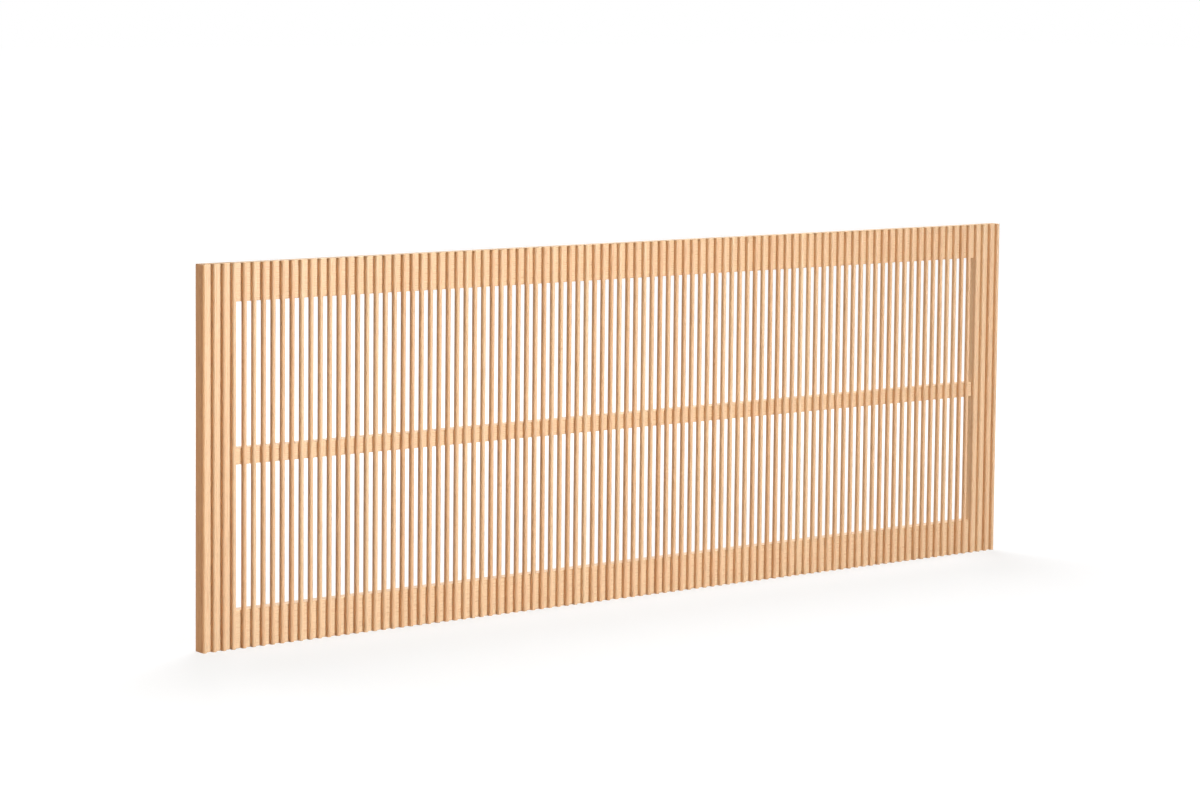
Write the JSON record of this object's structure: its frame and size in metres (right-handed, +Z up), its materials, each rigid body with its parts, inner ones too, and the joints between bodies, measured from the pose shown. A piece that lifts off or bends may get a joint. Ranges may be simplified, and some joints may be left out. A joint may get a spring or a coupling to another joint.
{
  "type": "headboard",
  "caption": "Slatted wooden headboard: upright half-round slats glued to a doweled frame of stiles and rails, with keyhole slots in the back for hanging.",
  "frame": {"origin": "middle of the underside, at the centre of the panel's width and thickness", "axes": "+X along the width, to the right as seen from the front; +Y from the slatted front to the back face; +Z up"},
  "size_m": [1.95, 0.03, 0.7],
  "materials": {
    "slat_wood": "fine-sanded, clear matt oil",
    "board_wood": "fine-sanded, clear matt oil",
    "dowel_wood": "plain turned dowel"
  },
  "bodies": {
    "root": {"bottom_rail": "board_wood", "field_slats_01": "slat_wood", "field_slats_02": "slat_wood", "field_slats_03": "slat_wood", "field_slats_04": "slat_wood", "field_slats_05": "slat_wood", "field_slats_06": "slat_wood", "field_slats_07": "slat_wood", "field_slats_08": "slat_wood", "field_slats_09": "slat_wood", "field_slats_10": "slat_wood", "field_slats_11": "slat_wood", "field_slats_12": "slat_wood", "field_slats_13": "slat_wood", "field_slats_14": "slat_wood", "field_slats_15": "slat_wood", "field_slats_16": "slat_wood", "field_slats_17": "slat_wood", "field_slats_18": "slat_wood", "field_slats_19": "slat_wood", "field_slats_20": "slat_wood", "field_slats_21": "slat_wood", "field_slats_22": "slat_wood", "field_slats_23": "slat_wood", "field_slats_24": "slat_wood", "field_slats_25": "slat_wood", "field_slats_26": "slat_wood", "field_slats_27": "slat_wood", "field_slats_28": "slat_wood", "field_slats_29": "slat_wood", "field_slats_30": "slat_wood", "frame_dowels": "dowel_wood", "left_stile": "board_wood", "left_stile_slat_1": "slat_wood", "left_stile_slat_2": "slat_wood", "left_stile_slat_3": "slat_wood", "left_stile_slat_4": "slat_wood", "middle_rail": "board_wood", "right_stile": "board_wood", "right_stile_slat_1": "slat_wood", "right_stile_slat_2": "slat_wood", "right_stile_slat_3": "slat_wood", "right_stile_slat_4": "slat_wood", "top_rail": "board_wood"}
  },
  "joints": []
}
